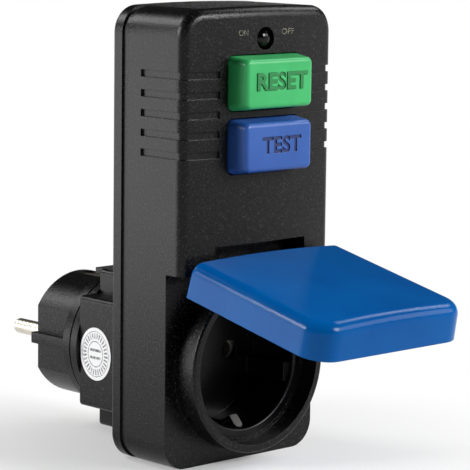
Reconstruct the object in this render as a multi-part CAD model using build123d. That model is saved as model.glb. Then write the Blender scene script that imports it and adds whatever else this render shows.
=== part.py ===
from build123d import *
import math
import os

# Plug-in residual current adapter: a mains plug at the back, a lidded socket in front,
# and RESET and TEST buttons above it.
# Millimetres. While it is drawn, X runs across, Y runs back and Z runs up, from the middle
# of the housing's foot, with the upper front face's side edges at Y zero. Each piece is then
# set so that the origin is the middle of the plug's face, between the two pins.

# Housing
housing_width = 60.0
upper_height = 76.5
corner_radius = 8.0
front_crown = 2.6
front_edge_radius = 3.0
rear_edge_radius = 1.1
rear_depth = 7.0
band_width = 4.2
top_bow = 0.75
wall = 2.2
recess_depth = 6.4

# Socket
socket_height = 29.5
collar_radius = 26.35
collar_bore = 23.9
collar_reach = 8.4
mouth_depth = 6.0
insert_radius = 22.6
recess_bore = 20.0
socket_depth = 17.5
floor_thickness = 2.1
pin_spacing = 19.0
pin_radius = 2.4

# Lid, drawn from its hinge axis
lid_width = 60.8
lid_edge_height = 10.4
lid_crown = 1.0
lid_wall = 1.5
lid_tilt = 12.4
lid_corner_radius = 8.3
lid_headroom = 2.65
lid_foot_gap = 0.97
hinge_rise = 1.4
hinge_depth = 0.3
hinge_setback = 3.93
hinge_above_rim = 5.82
hinge_slot_width = 36.2
hinge_slot_height = 8.0

# Plug and its neck
plug_height = 28.2
plug_radius = 19.6
plug_length = 17.6
plug_flat = 16.9
pin_length = 19.0
flange_radius = 21.2
flange_thickness = 3.2
disc_thickness = 3.8
neck_length = 26.6
neck_half_width = 20.0
neck_half_height = 17.2
neck_tall_half_width = 12.0
neck_tall_half_height = 24.6
neck_wall = 2.0
neck_disc_radius = 21.5

# Fits
slip = 0.05
gap = 0.3
over = 1.0

# Depths, from the socket's lip back to the plug's face
wire_room = 4.8
board_thickness = 1.6
board_standoff = 1.0
socket_lip = recess_depth - collar_reach
socket_mouth = socket_lip + mouth_depth
socket_floor = socket_mouth + socket_depth
insert_back = socket_floor + floor_thickness
rear_inner = insert_back + wire_room
housing_depth = rear_inner + wall
parting_depth = housing_depth - rear_depth
board_face = rear_inner - board_thickness - board_standoff
recess_inner = recess_depth + wall
neck_back = housing_depth + neck_length
neck_inner = neck_back - neck_wall
flange_back = neck_back + disc_thickness
plug_back = flange_back + flange_thickness
plug_face = plug_back + plug_length

# Heights, from the socket up to the lamp window
recess_height = socket_height + collar_radius + lid_headroom
housing_height = recess_height + upper_height
hinge_height = recess_height + hinge_rise
lid_length = hinge_height - hinge_setback - lid_foot_gap
reset_share = 0.7216
pitch_share = 0.24
lens_share = 0.8863
button_land = 2.55
button_pitch = pitch_share * upper_height
button_height = button_pitch - button_land
reset_height = recess_height + reset_share * upper_height
test_height = reset_height - button_pitch
lens_height = recess_height + lens_share * upper_height

# Buttons and indicator
button_width = 28.0
button_face = 9.1
button_draft = 0.8
button_travel = 2.5
lens_radius = 3.35

half_width = housing_width / 2
pin_x = pin_spacing / 2


def block(x, y, z):
    """A block between two places along each axis."""
    centre = Pos((x[0] + x[1]) / 2, (y[0] + y[1]) / 2, (z[0] + z[1]) / 2)
    return centre * Box(x[1] - x[0], y[1] - y[0], z[1] - z[0])


def rod_y(x, z, radius, y0, y1):
    """A round bar along Y."""
    return Pos(x, (y0 + y1) / 2, z) * Rot(90, 0, 0) * Cylinder(radius, y1 - y0)


def rod_x(y, z, radius, x0, x1):
    """A round bar along X."""
    return Pos((x0 + x1) / 2, y, z) * Rot(0, 90, 0) * Cylinder(radius, x1 - x0)


def rod_z(x, y, radius, z0, z1):
    """A round bar along Z."""
    return Pos(x, y, (z0 + z1) / 2) * Cylinder(radius, z1 - z0)


def ring_y(x, z, outer, inner, y0, y1):
    """A tube along Y."""
    return rod_y(x, z, outer, y0, y1) - rod_y(x, z, inner, y0 - over, y1 + over)


def both_sides(shape):
    """A shape and its mirror image across the middle plane."""
    return [shape, mirror(shape, about=Plane.YZ)]


def sprung_coil(x, z, radius, wire, y0, y1, turns):
    """A compression spring along Y whose end turns touch both seats."""
    height = y1 - y0 - 2 * wire
    path = Helix(pitch=height / turns, height=height, radius=radius)
    start = path @ 0
    profile = Plane(origin=start, z_dir=path % 0) * Circle(wire)
    coil = sweep(profile, path=path, is_frenet=True)
    return Pos(x, y0 + wire, z) * Rot(-90, 0, 0) * coil


# Housing shells


def front_outline(inset, y0, y1):
    """The housing's front view as a prism, drawn in by an inset."""
    half = half_width - inset
    low = inset
    high = housing_height - inset
    sides = Polyline((-half, high), (-half, low), (half, low), (half, high))
    top = ThreePointArc((half, high), (0, high + top_bow), (-half, high))
    prism = extrude(Plane.XZ.offset(-y0) * make_face([sides, top]), amount=y0 - y1)
    return fillet(prism.edges().filter_by(Axis.Y), corner_radius - inset)


def plan_outline(depth):
    """The housing seen from above, with its crowned front."""
    sides = Polyline((-half_width, 0), (-half_width, depth), (half_width, depth), (half_width, 0))
    crown = ThreePointArc((half_width, 0), (0, -front_crown), (-half_width, 0))
    return make_face([sides, crown])


def crowned_block():
    """The solid outside of the front shell, before anything is cut."""
    plan = extrude(plan_outline(parting_depth), amount=housing_height + top_bow + over)
    body = front_outline(0, -front_crown - over, parting_depth) & plan
    face = body.faces().sort_by(Axis.Y)[0]
    return fillet(face.edges(), front_edge_radius)


def side_grooves():
    """Five shallow bands that wrap round both front edges."""
    groove_count = 5
    groove_pitch = 0.0752 * upper_height
    groove_width = 2.1
    groove_depth = 0.7
    groove_reach = 17.9
    middle_height = recess_height + 0.6055 * upper_height
    front_end = 17.0
    plan = plan_outline(parting_depth)
    fronts = plan.vertices().group_by(Axis.Y)[0]
    plan = fillet(fronts, front_edge_radius)
    band = plan - offset(plan, amount=-groove_depth)
    high = groove_reach + front_crown + over
    side = Rectangle(half_width, high, align=(Align.MIN, Align.MAX))
    band = band & (Pos(front_end, groove_reach) * side)
    grooves = []
    for index in range(groove_count):
        height = middle_height + (index - (groove_count - 1) / 2) * groove_pitch
        low = height - groove_width / 2
        grooves += both_sides(extrude(Plane.XY.offset(low) * band, amount=groove_width))
    return grooves


screw_inset = 5.4
screw_low = 6.4
screw_places = [
    (side * (half_width - screw_inset), height)
    for side in (-1, 1)
    for height in (screw_low, housing_height - screw_low)
]
boss_radius = 3.3
screw_shank = 1.5
screw_head = 2.7
screw_head_height = 1.6
screw_length = 14.0
screw_seat = housing_depth - screw_head_height - 2 * gap


def button_opening(height, clearance):
    """The hole that a button's sides slide in."""
    plan = RectangleRounded(button_width + 2 * clearance, button_height + 2 * clearance, button_corner)
    return extrude(Plane.XZ.offset(-wall - over) * Pos(0, height) * plan, amount=wall + front_crown + 2 * over)


def hinge_pocket():
    """The slot over the lid: the block round it and the hollow in it."""
    half = hinge_slot_width / 2
    pocket_back = recess_depth - wall / 2
    top = recess_height + hinge_slot_height
    lining = block((-half - wall, half + wall), (0, pocket_back + wall), (recess_height, top + wall))
    hollow = block((-half, half), (-front_crown - over, pocket_back), (recess_height - over, top))
    return lining, hollow


def front_housing():
    """The front shell with the socket's collar, the button holes and the screw bosses."""
    shell = crowned_block()
    shell -= block(
        (-half_width - over, half_width + over),
        (-front_crown - over, recess_depth),
        (-over, recess_height),
    )
    upper = front_outline(wall, wall, parting_depth + over)
    upper -= block(
        (-half_width, half_width), (0, parting_depth + 2 * over), (-over, recess_height + wall)
    )
    lower = front_outline(wall, recess_inner, parting_depth + over)
    shell -= upper
    shell -= lower
    lining, hollow = hinge_pocket()
    shell += lining
    for x, height in screw_places:
        front = wall if height > recess_height else recess_inner
        shell += rod_y(x, height, boss_radius, front - slip, parting_depth)
        shell -= rod_y(x, height, screw_shank + slip, screw_seat - screw_length - over, parting_depth + over)
    shell += rod_y(0, socket_height, collar_radius, socket_lip, recess_inner)
    shell -= rod_y(0, socket_height, collar_bore, socket_lip - over, socket_mouth)
    shell -= rod_y(0, socket_height, insert_radius + slip, socket_lip, recess_inner + over)
    shell -= hollow
    shell -= side_grooves()
    shell -= button_opening(reset_height, gap)
    shell -= button_opening(test_height, gap)
    shell -= rod_y(0, lens_height, lens_radius + slip, -front_crown - over, wall + over)
    pin_end = hinge_slot_width / 2 + hinge_pin_grip
    shell -= rod_x(hinge_depth, hinge_height, hinge_pin_radius + slip, -pin_end - gap, pin_end + gap)
    rim = shell.edges().filter_by(GeomType.CIRCLE).filter_by(lambda e: abs(e.radius - collar_radius) < slip)
    rim = rim.sort_by(Axis.Y)[0]
    return fillet(rim, lip_rounding)


lip_rounding = 0.8
hinge_pin_radius = 0.9
hinge_pin_grip = 3.0
seal_thickness = 0.6
seal_inset = 1.1
lip_inset = 0.6
band_depth = housing_depth - band_width


def rear_housing():
    """The rear shell, with an opening that the neck's tongue fits."""
    start = parting_depth + seal_thickness
    shell = front_outline(0, band_depth, housing_depth)
    back = shell.faces().sort_by(Axis.Y)[-1]
    shell = fillet(back.edges(), rear_edge_radius)
    shell += front_outline(lip_inset, start, band_depth)
    shell -= front_outline(wall, start - over, rear_inner)
    for x, height in screw_places:
        shell += rod_y(x, height, boss_radius, parting_depth, rear_inner)
    for arm in neck_arms:
        shell -= neck_block(arm, tongue_inset - slip, rear_inner - over, housing_depth + over)
    for x, height in screw_places:
        shell -= rod_y(x, height, screw_shank + gap, parting_depth - over, housing_depth)
        shell -= rod_y(x, height, screw_head + gap, screw_seat, housing_depth + over)
    return shell


neck_drop = 0.6
neck_middle = plug_height - neck_drop
neck_arms = [(neck_half_width, neck_half_height), (neck_tall_half_width, neck_tall_half_height)]
neck_edge_radius = 1.5
tongue_inset = 1.0
tongue_length = 1.5
disc_step = 0.9
disc_rim = 2.2
tab_thickness = 1.8
tab_reach = 4.0
spigot_radius = 17.0
plug_cavity = 15.2
plug_screw_offset = 9.7
plug_screw_places = [
    (plug_screw_offset, plug_height + plug_screw_offset),
    (-plug_screw_offset, plug_height - plug_screw_offset),
]
plug_screw_shank = 1.2
plug_screw_head = 2.2


def neck_block(arm, inset, y0, y1):
    """One arm of the neck's cross, drawn in by an inset."""
    half_x, half_z = arm
    return block(
        (-half_x + inset, half_x - inset),
        (y0, y1),
        (neck_middle - half_z + inset, neck_middle + half_z - inset),
    )


def plug_neck():
    """The hollow neck between the rear shell and the plug: a wide and a tall arm, a disc and a tongue."""
    neck = []
    for arm in neck_arms:
        outside = neck_block(arm, 0, housing_depth, neck_back)
        neck.append(fillet(outside.edges().filter_by(Axis.Y), neck_edge_radius))
        neck.append(neck_block(arm, tongue_inset, housing_depth - tongue_length, housing_depth + slip))
    disc_end = flange_back - disc_step
    neck.append(rod_y(0, plug_height, neck_disc_radius, neck_back, disc_end))
    neck.append(rod_y(0, plug_height, neck_disc_radius - disc_rim, disc_end - over, flange_back))
    top = neck_middle + neck_tall_half_height
    neck.append(block(
        (-neck_tall_half_width + neck_edge_radius, neck_tall_half_width - neck_edge_radius),
        (neck_back - neck_wall, neck_back + tab_reach),
        (top - tab_thickness, top),
    ))
    body = neck[0]
    for piece in neck[1:]:
        body += piece
    for arm in neck_arms:
        body -= neck_block(arm, neck_wall, housing_depth - tongue_length - over, neck_inner)
    body -= rod_y(0, plug_height, spigot_radius + slip, neck_back, flange_back + over)
    way_half_x = pin_x + 2 * pin_radius
    way_half_z = 2.4 * pin_radius
    body -= block(
        (-way_half_x, way_half_x),
        (neck_inner - over, neck_back + over),
        (plug_height - way_half_z, plug_height + way_half_z),
    )
    for x, z in plug_screw_places:
        body -= rod_y(x, z, plug_screw_shank + gap / 2, neck_inner - over, neck_back + over)
    return body


def housing_seal():
    """The rubber ring between the two shells."""
    end = parting_depth + seal_thickness
    ring = front_outline(seal_inset, parting_depth, end)
    ring -= front_outline(wall, parting_depth - over, end + over)
    for x, height in screw_places:
        ring -= rod_y(x, height, boss_radius + slip, parting_depth - over, end + over)
    return ring


def housing_screws():
    """Four screws from the back, with a cross recess in each head."""
    screws = []
    for x, height in screw_places:
        head = rod_y(x, height, screw_head, screw_seat, screw_seat + screw_head_height)
        head = fillet(head.edges().sort_by(Axis.Y)[-1], screw_head_height / 3)
        screw = head + rod_y(x, height, screw_shank, screw_seat - screw_length, screw_seat)
        screws.append(screw - cross_recess(x, height, screw_head, screw_seat + screw_head_height))
    return screws


def cross_recess(x, z, radius, y):
    """The driver's cross in a screw head that faces +Y."""
    reach = radius * 0.6
    slot = radius * 0.14
    depth = radius * 0.35
    bar = block((x - reach, x + reach), (y - depth, y + over), (z - slot, z + slot))
    return bar + block((x - slot, x + slot), (y - depth, y + over), (z - reach, z + reach))


# Socket

insert_flange = 2.4
insert_flange_width = 2.8
insert_lip = 1.8
contact_hole = 3.0
guide_low = 2.6
guide_high = 8.2
guide_setback = 1.5


def socket_insert():
    """The bowl that takes the plug: round, with two side guides and two pin holes."""
    flange_edge = insert_radius + insert_flange_width
    bowl = rod_y(0, socket_height, insert_radius, socket_mouth, insert_back)
    bowl += rod_y(0, socket_height, flange_edge, recess_inner + slip, recess_inner + insert_flange)
    bowl -= rod_y(0, socket_height, recess_bore, socket_mouth - over, socket_floor)
    rim = bowl.edges().filter_by(GeomType.CIRCLE).sort_by(Axis.Y)
    rim = [e for e in rim if abs(e.radius - recess_bore) < slip][0]
    bowl = fillet(rim, insert_radius - recess_bore - insert_lip)
    guide_flat = plug_flat + gap
    guide_start = socket_mouth + guide_setback
    for side in (-1, 1):
        for up in (-1, 1):
            guide = block(
                sorted((side * guide_flat, side * (recess_bore + slip))),
                (guide_start, socket_floor + slip),
                sorted((socket_height + up * guide_low, socket_height + up * guide_high)),
            )
            bowl += guide & rod_y(0, socket_height, recess_bore + slip, socket_mouth, insert_back)
    for side in (-1, 1):
        bowl -= rod_y(side * pin_x, socket_height, contact_hole, socket_floor - over, insert_back + over)
    slot_half = clip_width / 2 + gap
    for up in (-1, 1):
        slot = block(
            (-slot_half, slot_half),
            (clip_front - gap, insert_back + over),
            sorted((
                socket_height + up * (recess_bore - gap),
                socket_height + up * (clip_rest + 2 * clip_thickness),
            )),
        )
        bowl -= slot
    return bowl


clip_width = 3.0
clip_thickness = 0.8
clip_clearance = 1.0
clip_setback = 2.4
clip_rise = 3.0
clip_fall = 6.5
clip_rest = recess_bore + clip_clearance
clip_front = socket_mouth + clip_setback
clip_inward = 17.3


def bent_strip(points, thickness, half_width_x):
    """A flat strip bent along points in the Y and Z plane."""
    line = Polyline(*points)
    face = trace(line, line_width=thickness)
    return extrude(Plane.YZ * face, amount=half_width_x, both=True)


def socket_earth_clip():
    """The earth contact: a bow behind the bowl with an inward spring at top and bottom."""
    bow_plane = insert_back + clip_thickness
    inward = clip_front + clip_rise
    heel = inward + clip_fall
    points = []
    for up in (-1, 1):
        radii = (clip_rest - clip_thickness, clip_inward, clip_rest, clip_rest)
        depths = (clip_front, inward, heel, bow_plane)
        side = [(y, socket_height + up * r) for y, r in zip(depths, radii)]
        points.append(side)
    path = points[0] + points[1][::-1]
    clip = bent_strip(path, clip_thickness, clip_width / 2)
    tips = [e for e in clip.edges() if e.center().Y < clip_front + clip_thickness and abs(e.center().X) > slip]
    tips = [e for e in tips if e.length < 2 * clip_thickness]
    return fillet(tips, clip_width * 0.45)


receptacle_length = 14.0
receptacle_outer = 3.3
receptacle_bore = pin_radius + slip
tag_thickness = 1.0
tag_width = 3.0
tag_height = 4.0


def socket_receptacle(side):
    """A slit brass sleeve that grips one pin of the visiting plug."""
    x = side * pin_x
    start = insert_back + slip
    end = start + receptacle_length
    sleeve = ring_y(x, socket_height, receptacle_outer, receptacle_bore, start, end)
    slit = tag_thickness * 0.7
    low = socket_height - receptacle_outer - over
    sleeve -= block((x - slit / 2, x + slit / 2), (start - over, end - tag_width), (low, socket_height))
    foot = socket_height + (receptacle_outer + receptacle_bore) / 2
    tag = block(
        (x - tag_thickness / 2, x + tag_thickness / 2),
        (end - tag_width, end),
        (foot, foot + tag_height),
    )
    return sleeve + tag


# Lid and hinge

lid_rim = -hinge_above_rim
lid_top = lid_rim + lid_edge_height
lid_back = -hinge_setback
lid_tip = lid_back - lid_length
lid_rounding = 3.8
lid_back_rounding = 1.2
lid_draft_angle = 2.5
knuckle_radius = 2.6
knuckle_inner = 13.5
knuckle_outer = hinge_slot_width / 2 - 2 * gap
gasket_outer = collar_radius - 0.2
gasket_inner = collar_bore + 0.3
gasket_thickness = 0.7


def lid_plan(inset):
    """The lid's plan, with large corners at its free end."""
    half = lid_width / 2 - inset
    plan = Pos(0, (lid_back + lid_tip) / 2) * Rectangle(2 * half, lid_length - 2 * inset)
    far = plan.vertices().group_by(Axis.Y)[0]
    return fillet(far, lid_corner_radius - inset)


def lid_section(inset, depth):
    """A crowned prism along the lid, from the rim up to its arched top."""
    half = lid_width / 2
    top = lid_top - inset
    low = lid_rim - over
    sides = Polyline((-half, top), (-half, low), (half, low), (half, top))
    arch = ThreePointArc((half, top), (0, top + lid_crown), (-half, top))
    face = make_face([sides, arch])
    return extrude(Plane.XZ.offset(-lid_back - over) * face, amount=depth)


def lid_solid(inset):
    """The lid's outside, or its inside when drawn in by an inset."""
    tall = lid_edge_height + lid_crown + over
    prism = extrude(Plane.XY.offset(lid_rim) * lid_plan(inset), amount=tall, taper=lid_draft_angle)
    body = prism & lid_section(inset, lid_length + 2 * over)
    top = body.faces().sort_by(Axis.Z)[-1]
    back = top.edges().sort_by(Axis.Y)[-1]
    body = fillet([e for e in top.edges() if e.center().Y < back.center().Y - slip], lid_rounding - inset)
    if inset:
        return body
    back = body.faces().sort_by(Axis.Y)[-1]
    return fillet([e for e in back.edges() if e.center().Z > lid_rim + slip], lid_back_rounding)


def lid_place():
    """The lid stands open, a little below level, on its hinge axis."""
    return Pos(0, hinge_depth, hinge_height) * Rot(lid_tilt, 0, 0)


def lid_collar_middle():
    """Where the collar's axis meets the closed lid, along the lid."""
    return -(hinge_height - socket_height)


def socket_lid():
    """The hinged lid: a crowned cap with two knuckles and a seat for its gasket."""
    lid = lid_solid(0)
    inside = lid_solid(lid_wall)
    inside += extrude(Plane.XY.offset(lid_rim - over) * lid_plan(lid_wall), amount=2 * over)
    lid -= inside
    seat_low = lid_gasket_top()
    seat_high = lid_top + lid_crown
    seat = Pos(0, lid_collar_middle(), (seat_low + seat_high) / 2) * (
        Cylinder(gasket_outer + gap, seat_high - seat_low)
        - Cylinder(gasket_inner - gap, seat_high - seat_low + over)
    )
    lid += seat & lid_solid(lid_wall / 2)
    pocket_low = seat_low - gasket_thickness - gap
    lid -= Pos(0, lid_collar_middle(), (pocket_low + seat_low) / 2) * (
        Cylinder(gasket_outer + gap, seat_low - pocket_low)
        - Cylinder(gasket_inner - gap, seat_low - pocket_low + over)
    )
    notch_top = lid_gasket_top()
    notch = block(
        (-knuckle_inner, knuckle_inner), (lid_back - 2 * lid_wall, lid_back + over), (lid_rim - over, notch_top)
    )
    lid -= notch
    for side in (-1, 1):
        ends = sorted((side * knuckle_inner, side * knuckle_outer))
        knuckle = rod_x(0, 0, knuckle_radius, *ends)
        web = block(ends, (lid_back - lid_wall / 2, 0), (-knuckle_radius, knuckle_radius))
        lid += knuckle + web
        lid -= rod_x(0, 0, hinge_pin_radius + slip, ends[0] - over, ends[1] + over)
    return lid_place() * lid


def lid_gasket_top():
    """The height of the gasket's seat: the lip of the closed collar, a gap and the gasket above it."""
    lip_above_axis = hinge_depth - socket_lip
    return lip_above_axis + gap + gasket_thickness


def lid_gasket():
    """The soft ring in the lid that meets the collar's lip."""
    high = lid_gasket_top()
    ring = Cylinder(gasket_outer, gasket_thickness) - Cylinder(gasket_inner, gasket_thickness + over)
    return lid_place() * Pos(0, lid_collar_middle(), high - gasket_thickness / 2) * ring


def hinge_pin():
    """The steel pin through both knuckles."""
    end = hinge_slot_width / 2 + hinge_pin_grip
    return rod_x(hinge_depth, hinge_height, hinge_pin_radius, -end, end)


# Buttons and mechanism

button_rounding = 1.4
flange_start = wall + gap / 2
flange_thick = 1.5
flange_grip = 1.4
stem_half = 0.19 * button_height
stem_tip = 0.36 * housing_depth
guide_face = 0.2353 * housing_depth
guide_thickness = 1.6
button_wall = 1.8
button_corner = 1.9
spring_wire = 0.35


def push_button(height):
    """A tapered key with retaining ears, a hollow back and a stem."""
    base = RectangleRounded(button_width, button_height, button_corner)
    small = RectangleRounded(
        button_width - 2 * button_draft, button_height - 2 * button_draft, button_corner
    )
    root = Plane.XZ.offset(front_crown) * Pos(0, height) * base
    face = Plane.XZ.offset(button_face) * Pos(0, height) * small
    key = loft([root, face])
    front = key.faces().sort_by(Axis.Y)[0]
    key = fillet(front.edges(), button_rounding)
    key += extrude(root, amount=-front_crown - flange_start - slip)
    half = button_width / 2 + flange_grip
    half_high = button_height / 2 - button_wall / 2
    flange_end = flange_start + flange_thick
    key += block((-half, half), (flange_start, flange_end), (height - half_high, height + half_high))
    hollow_x = button_width / 2 - button_draft - button_wall
    hollow_z = button_height / 2 - button_draft - button_wall / 2
    ceiling = -button_face + 2 * button_wall
    key -= block(
        (-hollow_x, hollow_x), (ceiling, flange_end + over), (height - hollow_z, height + hollow_z)
    )
    return key + block(
        (-stem_half, stem_half), (ceiling - slip, stem_tip), (height - stem_half, height + stem_half)
    )


def button_spring(height):
    """The coil round a button's stem, from the guide plate into the hollow key."""
    radius = stem_half * math.sqrt(2) + spring_wire + gap
    ceiling = -button_face + 2 * button_wall
    return sprung_coil(0, height, radius, spring_wire, ceiling, guide_face, 6)


frame_half = 23.0
leg_thickness = 1.8
leg_inner = frame_half - leg_thickness


def mechanism_frame():
    """The guide plate behind the buttons, on two side legs that stand on the rear shell."""
    low = test_height - button_height / 2 - wall / 2
    high = reset_height + button_height / 2 + wall / 2
    plate = block((-frame_half, frame_half), (guide_face, guide_face + guide_thickness), (low, high))
    hole = stem_half + slip
    for height in (reset_height, test_height):
        plate -= block((-hole, hole), (0, 2 * guide_face), (height - hole, height + hole))
    for side in (-1, 1):
        leg = block(sorted((side * leg_inner, side * frame_half)), (guide_face, rear_inner), (low + wall, high - wall))
        plate += leg
    return plate


carriage_front = stem_tip + gap / 2
carriage_back = carriage_front + 3.0
carriage_half_high = 5.7
armature_half = 8.0
armature_thickness = 1.4
leaf_thickness = 0.8
leaf_start = 13.0
leaf_end = 20.2
leaf_half_high = 2.7
stud_height = 1.2
stud_radius = 1.4
stud_xs = (leaf_start + stud_radius, leaf_end - stud_radius)
contact_air = button_travel + 0.1
fixed_face = carriage_back + leaf_thickness + stud_height + contact_air
pole_face = carriage_back + armature_thickness + contact_air
opening_spring_x = (armature_half + leaf_start) / 2
opening_spring_radius = 1.6
opening_spring_wire = 0.25


def contact_carriage():
    """The moulded bar that the RESET stem pushes, sliding between the frame's legs."""
    half = leg_inner - slip
    bar = block(
        (-half, half),
        (carriage_front, carriage_back),
        (reset_height - carriage_half_high, reset_height + carriage_half_high),
    )
    return fillet(bar.edges().filter_by(Axis.Y), button_wall / 2)


def armature():
    """The steel plate on the carriage that the magnet holds."""
    half_high = carriage_half_high - leaf_thickness
    return block(
        (-armature_half, armature_half),
        (carriage_back, carriage_back + armature_thickness),
        (reset_height - half_high, reset_height + half_high),
    )


def moving_contacts():
    """Two copper bridges with silver studs, one for each conductor."""
    bridges = []
    for side in (-1, 1):
        leaf = block(
            sorted((side * leaf_start, side * leaf_end)),
            (carriage_back, carriage_back + leaf_thickness),
            (reset_height - leaf_half_high, reset_height + leaf_half_high),
        )
        top = carriage_back + leaf_thickness
        for x in stud_xs:
            leaf += rod_y(side * x, reset_height, stud_radius, top - slip, top + stud_height)
        bridges.append(leaf)
    return bridges


def fixed_contacts():
    """Four posts on the board that the bridges close on."""
    return [
        rod_y(side * x, reset_height, stud_radius, fixed_face, board_face)
        for side in (-1, 1)
        for x in stud_xs
    ]


def opening_springs():
    """Two coils that push the carriage forward when the magnet lets go."""
    return [
        sprung_coil(
            side * opening_spring_x, reset_height, opening_spring_radius, opening_spring_wire,
            carriage_back, board_face, 8,
        )
        for side in (-1, 1)
    ]


core_radius = 2.6
yoke_base = 1.4
yoke_leg = 1.4


def magnet_yoke():
    """The soft iron core and its bent side legs."""
    half = armature_half
    half_high = carriage_half_high - leaf_thickness
    base_front = board_face - yoke_base
    low, high = reset_height - half_high, reset_height + half_high
    yoke = block((-half, half), (base_front, board_face), (low, high))
    yoke += rod_y(0, reset_height, core_radius, pole_face, base_front)
    for side in (-1, 1):
        yoke += block(sorted((side * (half - yoke_leg), side * half)), (pole_face, base_front), (low, high))
    return yoke


bobbin_outer = armature_half - yoke_leg - gap
bobbin_tube = 0.6
bobbin_cheek = 0.6
bobbin_front = pole_face + gap
bobbin_back = board_face - yoke_base


def coil_bobbin():
    """The moulded reel on the magnet's core."""
    inner = core_radius + slip
    reel = ring_y(0, reset_height, inner + bobbin_tube, inner, bobbin_front, bobbin_back)
    for y in (bobbin_front, bobbin_back - bobbin_cheek):
        cheek = ring_y(0, reset_height, carriage_half_high - leaf_thickness, inner, y, y + bobbin_cheek)
        reel += cheek
    return reel


def coil_winding():
    """The enamelled wire on the reel, as one ring."""
    inner = core_radius + 2 * slip + bobbin_tube
    outer = carriage_half_high - leaf_thickness - gap
    start = bobbin_front + bobbin_cheek + slip
    return ring_y(0, reset_height, outer, inner, start, bobbin_back - bobbin_cheek - slip)


def indicator_lens():
    """The dark dome over the lamp, which fills its hole only at the back."""
    proud = 0.3
    lens = rod_y(0, lens_height, lens_radius, -front_crown - proud, flange_start)
    lens = fillet(lens.edges().sort_by(Axis.Y)[0], lens_radius * 0.93)
    return lens + rod_y(0, lens_height, lens_radius + over, flange_start - slip, flange_start + over)


def indicator_lamp():
    """The signal lamp on its two legs."""
    radius = 2.5
    front = flange_start + 3 * over
    length = 8.0
    lamp = rod_y(0, lens_height, radius, front, front + length)
    lamp = fillet(lamp.edges().sort_by(Axis.Y)[0], radius * 0.9)
    lamp += rod_y(0, lens_height, radius * 1.16, front + length - over, front + length)
    leg = radius * 0.1
    for side in (-1, 1):
        x = side * radius / 2
        lamp += block((x - leg, x + leg), (front + length - slip, board_face), (lens_height - leg, lens_height + leg))
    return lamp


def test_leaf():
    """The springy contact that the TEST stem touches."""
    half = 5.0
    sheet = 0.5
    half_high = 3.2
    front = stem_tip + button_travel + gap / 3
    leaf = block((-half, half), (front, front + sheet), (test_height - half_high, test_height + half_high))
    return leaf + block((half - sheet, half), (front, board_face), (test_height - half_high, test_height + half_high))


# Board and its components

board_half = 20.4
board_inset_low = 3.4
board_inset_high = 4.2
board_low = recess_height + board_inset_low
board_high = housing_height - board_inset_high
winding_outer = 0.403 * board_face
winding_inner = 0.163 * board_face
winding_half = 4.4
winding_wall = 0.9
core_height = recess_height + hinge_slot_height + wall + winding_wall + winding_half
core_middle = (0, board_face - winding_outer - slip, core_height)
chip_drop = 7.35


def circuit_board():
    """The board, with the rear shell's four short pads as part of its back."""
    board = block((-board_half, board_half), (board_face, board_face + board_thickness), (board_low, board_high))
    pad_radius = 2.0
    for side in (-1, 1):
        for height in (board_low + 2 * pad_radius, board_high - 4 * pad_radius):
            x = side * (board_half - 2 * pad_radius)
            board += rod_y(x, height, pad_radius, board_face + board_thickness - slip, rear_inner)
    return board


def sensing_core():
    """The ring core of the summation transformer."""
    x, y, z = core_middle
    half = winding_half - winding_wall
    outer = rod_z(x, y, winding_outer - winding_wall, z - half, z + half)
    return outer - rod_z(x, y, winding_inner + winding_wall, z - winding_half, z + winding_half)


def sensing_winding():
    """The sense winding, laid all round the core."""
    x, y, z = core_middle
    body = rod_z(x, y, winding_outer, z - winding_half, z + winding_half)
    body -= rod_z(x, y, winding_inner, z - winding_half - over, z + winding_half + over)
    half = winding_half - winding_wall + slip
    hollow = rod_z(x, y, winding_outer - winding_wall + slip, z - half, z + half)
    hollow -= rod_z(x, y, winding_inner + winding_wall - slip, z - winding_half, z + winding_half)
    return body - hollow


def control_chip():
    """The amplifier in its flat case with eight legs."""
    length, depth, height = 9.6, 3.2, 6.4
    x, z = -13.0, test_height - chip_drop
    lift = 0.6
    case = block(
        (x - length / 2, x + length / 2),
        (board_face - depth - lift, board_face - lift),
        (z - height / 2, z + height / 2),
    )
    leg = 0.5
    for index in range(4):
        place = x + (index - 1.5) * length / 4
        for side in (-1, 1):
            edge = z + side * height / 2
            case += block((place - leg / 2, place + leg / 2), (board_face - depth / 2, board_face), (edge - leg, edge + leg))
    return case


def surge_varistor():
    """The disc that clips mains surges."""
    radius, thickness = 5.0, 3.6
    x, z = -15.4, core_height - 2.0 * winding_wall
    middle = board_face - radius - slip
    disc = rod_x(middle, z, radius, x - thickness / 2, x + thickness / 2)
    return fillet(disc.edges().filter_by(GeomType.CIRCLE), thickness / 4)


def smoothing_capacitor():
    """The can that feeds the amplifier."""
    radius, length = 4.0, 11.0
    x, z = 15.6, core_height - winding_wall
    can = rod_y(x, z, radius, board_face - length, board_face)
    return fillet(can.edges().sort_by(Axis.Y)[0], radius / 8)


def small_resistors():
    """A row of resistors, each on two wire legs."""
    radius, length, wire = 1.1, 5.0, 0.3
    pitch = 4.0
    start_x, z = 9.0, test_height - chip_drop
    pieces = []
    for index in range(3):
        x = start_x + index * pitch
        middle = board_face - radius - wire
        body = rod_z(x, middle, radius, z - length / 2, z + length / 2)
        for side in (-1, 1):
            end = z + side * (length / 2 + wire)
            body += block((x - wire, x + wire), (middle - wire, board_face), (end - wire - slip, end + wire))
        pieces.append(body)
    return pieces


def test_resistor():
    """The resistor that makes the test current, lying across the board."""
    radius, length, wire = 1.7, 9.0, 0.35
    x, z = -14.0, test_height + radius
    middle = board_face - radius - wire
    body = rod_x(middle, z, radius, x - length / 2, x + length / 2)
    for side in (-1, 1):
        end = x + side * (length / 2 + wire)
        body += block((end - wire - slip, end + wire), (middle - wire, board_face), (z - wire, z + wire))
    return body


# Conductors

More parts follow.
